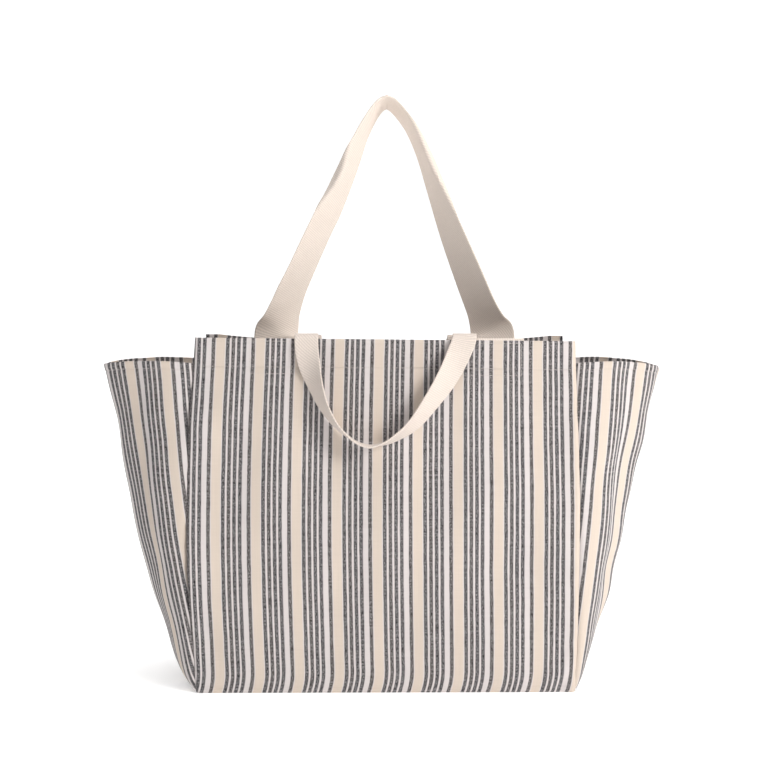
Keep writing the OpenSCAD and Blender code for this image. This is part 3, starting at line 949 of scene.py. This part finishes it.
def webbing_section(width, lip, lip_angle, cup):
    """Points across the webbing: along its width, and along its thickness direction. The
    outer edge is turned back by lip_angle over a width lip, and the rest is cupped."""
    s = np.concatenate([[-1, -0.985, -0.95], np.linspace(-0.9, 0.9, 31), [0.95, 0.985, 1]])
    s = s * width / 2
    fold_at = -width / 2 + lip
    fold = lip_angle * (1 - ramp01((s - fold_at) / (4 * MM) + 0.5))
    angle = -fold + cup * s / width
    step = np.diff(s)
    middle = (angle[1:] + angle[:-1]) / 2
    across = np.concatenate([[0], np.cumsum(step * np.cos(middle))])
    rise = np.concatenate([[0], np.cumsum(step * np.sin(middle))])
    centre = np.argmin(np.abs(s - max(lip, 0.0) / 2))
    across += s[centre] - across[centre]
    rise -= rise[centre]
    # The thickness is round at both edges
    edge = np.clip((np.abs(s) - width / 2 + WEBBING_T / 2) / (WEBBING_T / 2), 0, 1)
    half_t = WEBBING_T / 2 * np.sqrt(np.maximum(1 - edge ** 2, 0.0))
    return s, across, rise, angle, half_t


def webbing_strap(name, legs, end_x, off, edge, width, shape, material, turn_back=False):
    """A whole strap of webbing: a sewn-down tab, the loop and the other tab, as one mesh.
    shape(leg) gives the lip's width and angle and the cup, from -1 at one end to 1."""
    path, heading, across, at = webbing_leg(legs[0], end_x, off, edge)
    path2, heading2, across2, at2 = webbing_leg(legs[1], end_x, off, edge)
    mirror = np.array([-1.0, 1, 1])
    path = np.concatenate([path, (path2 * mirror)[-2::-1]])
    heading = np.concatenate([heading, (heading2 * -mirror)[-2::-1]])
    across = np.concatenate([across, (across2 * mirror)[-2::-1]])
    through = np.cross(heading, across)
    first, length = at[-1], at[-1] + at2[-1]
    along = np.concatenate([at, length - at2[-2::-1]])

    rings, cloth = [], []
    for point, wide, thick, distance in zip(path, across, through, along):
        leg = distance / first - 1 if distance < first else (distance - first) / (length - first)
        lip, lip_angle, cup = shape(leg)
        s, over, rise, angle, half_t = webbing_section(width, lip, lip_angle, cup)
        normal = thick * np.cos(angle)[:, None] - wide * np.sin(angle)[:, None]
        middle = point + wide * over[:, None] + thick * rise[:, None]
        top = middle + normal * half_t[:, None]
        under = middle - normal * half_t[:, None]
        rings.append(np.concatenate([top, under[-2:0:-1]]))
        uv = np.stack([s, np.full(len(s), distance - first)], -1)
        cloth.append(np.concatenate([uv, uv[-2:0:-1]]))
    rings, cloth = np.array(rings), np.array(cloth)
    if turn_back:
        rings = (rings * [1, -1, 1])[:, ::-1]
        cloth = cloth[:, ::-1]
    count = rings.shape[1]
    index = np.arange(len(rings) * count).reshape(len(rings), count)
    after = np.roll(index, -1, axis=1)
    faces = np.stack([index[:-1], index[1:], after[1:], after[:-1]], -1).reshape(-1, 4).tolist()
    faces += [index[0].tolist(), index[-1, ::-1].tolist()]
    verts = rings.reshape(-1, 3)
    slot = "wide_webbing" if width == WIDE_W else "narrow_webbing"
    obj = make_object(name + "_webbing", verts, faces, cloth.reshape(-1, 2), material, slot)
    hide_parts(name, name + "_tabs")
    return obj, length


# Each leg's lip on the standing strap: its width in millimetres, and its middle and spread in
# parts of the way from the tab's end to the top
LEFT_LIP = (13, 0.69, 0.11)
RIGHT_LIP = (8.5, 0.74, 0.16)
LIP_ANGLE = math.radians(-116)


def standing_shape(leg):
    """Lip and cup of the strap that stands up. leg goes from -1 through 0 at the top to 1."""
    high = 1 - abs(leg)
    widest, at, spread = LEFT_LIP if leg < 0 else RIGHT_LIP
    lip = widest * math.exp(-((high - at) / spread) ** 2) - 2
    return lip * MM, LIP_ANGLE, -0.2 * float(ramp01((high - 0.2) / 0.3))


def hanging_shape(leg):
    high = 1 - abs(leg)
    return 4 * MM, 0.0, 0.22 * float(ramp01((high - 0.2) / 0.2))


def build_straps():
    hy, hz = HINGE_Y, HINGE_Z
    clear, past = 2.6 * MM, 7 * MM
    inner_edge = (0.0, -1.0, 0.0)
    straps = [
        ("back_shoulder_strap", (STANDING_LEFT_ROUTE, STANDING_RIGHT_ROUTE), WIDE_X, -1,
         inner_edge, WIDE_W, standing_shape, WIDE_WEBBING, True, (0, hy, hz - 8 * MM),
         (0, hy, hz + 8 * MM)),
        ("front_shoulder_strap", (DROPPED_ROUTE, DROPPED_ROUTE), WIDE_X, 1, (0.0, 1.0, 0.0), WIDE_W,
         hanging_shape, WIDE_WEBBING, False, (0, clear - hy, hz), (0, past - hy, hz)),
        ("front_grab_handle", (STEEP_HANDLE_ROUTE, LONG_HANDLE_ROUTE), NARROW_X, -1, inner_edge,
         NARROW_W, hanging_shape, NARROW_WEBBING, False, (0, -hy - clear, hz), (0, -hy - past, hz)),
        ("back_grab_handle", BACK_HANDLE_ROUTES, NARROW_X, -1, inner_edge, NARROW_W,
         hanging_shape, NARROW_WEBBING, True, (0, hy + clear, hz), (0, hy + past, hz)),
    ]
    for name, legs, end_x, off, edge, width, shape, material, back, start, end in straps:
        obj, length = webbing_strap(name, legs, end_x, off, edge, width, shape, material, back)
        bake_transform(obj)


build_panels()
build_gussets()
build_base()
build_base_binding()
build_straps()

# ---------------------------------------------------------------- camera and light
FRONT_TOP_Y = -MOUTH_HALF_DEPTH
CAMERA_DISTANCE = 1.6
camera_data = bpy.data.cameras.new("camera")
camera = bpy.data.objects.new("camera", camera_data)
bpy.context.scene.collection.objects.link(camera)
camera.location = (-0.017, FRONT_TOP_Y - CAMERA_DISTANCE, 0.425)
target = Vector((-0.0016, FRONT_TOP_Y, 0.321))
camera.rotation_euler = (target - camera.location).to_track_quat("-Z", "Y").to_euler()
camera_data.lens = 71.4
camera_data.sensor_width = 36
bpy.context.scene.camera = camera


def sun_light(name, towards, power, spread, colour=(1, 1, 1)):
    """A large soft light far away in one direction, such as a window or a big soft box."""
    data = bpy.data.lights.new(name, "SUN")
    data.energy = power
    data.angle = math.radians(spread)
    data.color = colour
    light = bpy.data.objects.new(name, data)
    light.rotation_euler = Vector(towards).to_track_quat("Z", "Y").to_euler()
    bpy.context.scene.collection.objects.link(light)


def softbox(name, location, target_point, size, power, colour):
    """A round soft box near the bag, hidden from the camera."""
    data = bpy.data.lights.new(name, "AREA")
    data.shape = "DISK"
    data.size = size
    data.energy = power
    data.color = colour
    light = bpy.data.objects.new(name, data)
    light.location = location
    aim = Vector(target_point) - light.location
    light.rotation_euler = aim.to_track_quat("-Z", "Y").to_euler()
    light.visible_camera = False
    bpy.context.scene.collection.objects.link(light)


WARM_WHITE = (1.0, 0.985, 0.97)
sun_light("key", (0.62, -0.62, 0.60), 0.45, 26, WARM_WHITE)
sun_light("top", (-0.05, 0.10, 1.0), 1.5, 60)
softbox("side", (1.00, -1.08, 0.80), (0.05, 0, 0.2), 0.6, 12.2, WARM_WHITE)

world = bpy.data.worlds.new("world")
bpy.context.scene.world = world
world.use_nodes = True
background = world.node_tree.nodes["Background"]
sky = Graph(world.node_tree)
side = sky.add("SeparateXYZ", {"Vector": sky.add("TexCoord").outputs["Generated"]}).outputs["X"]
world.node_tree.links.new(
    sky.ramp(sky.math("ADD", sky.math("MULTIPLY", side, 0.5), 0.5),
             [(0.15, (0.46, 0.47, 0.49, 1)), (0.85, (1.0, 0.99, 0.97, 1))]),
    background.inputs["Color"])
background.inputs["Strength"].default_value = 0.44
bpy.context.scene.view_settings.view_transform = "Standard"


def build_floor():
    """A pale floor that curves up into a backdrop far behind the bag."""
    profile = [(-4.0, 0.0), (2.2, 0.0)]
    profile += [(2.2 + 1.2 * math.sin(t), 1.2 - 1.2 * math.cos(t))
                for t in np.linspace(0.1, math.pi / 2, 14)]
    profile += [(3.4, 5.0)]
    points = np.array([[(x, y, z) for x in (-5.0, 5.0)] for y, z in profile])
    material, tree = new_material("floor")
    g = Graph(tree)
    speck = g.noise(g.add("TexCoord").outputs["Object"], 40.0, 3.0)
    shader = g.add("BsdfPrincipled", {
        "Base Color": g.ramp(speck, [(0.3, (0.90, 0.90, 0.90, 1)), (0.7, (0.92, 0.92, 0.92, 1))]),
        "Roughness": 0.9, "Emission Color": (1, 1, 1, 1), "Emission Strength": 0.34})
    g.add("OutputMaterial", {"Surface": shader.outputs[0]})
    verts = points.reshape(-1, 3)
    index = np.arange(len(verts)).reshape(-1, 2)
    faces = np.stack([index[:-1, 0], index[:-1, 1], index[1:, 1], index[1:, 0]], -1)
    return make_object("floor", verts, faces, verts[:, :2], material)


build_floor()
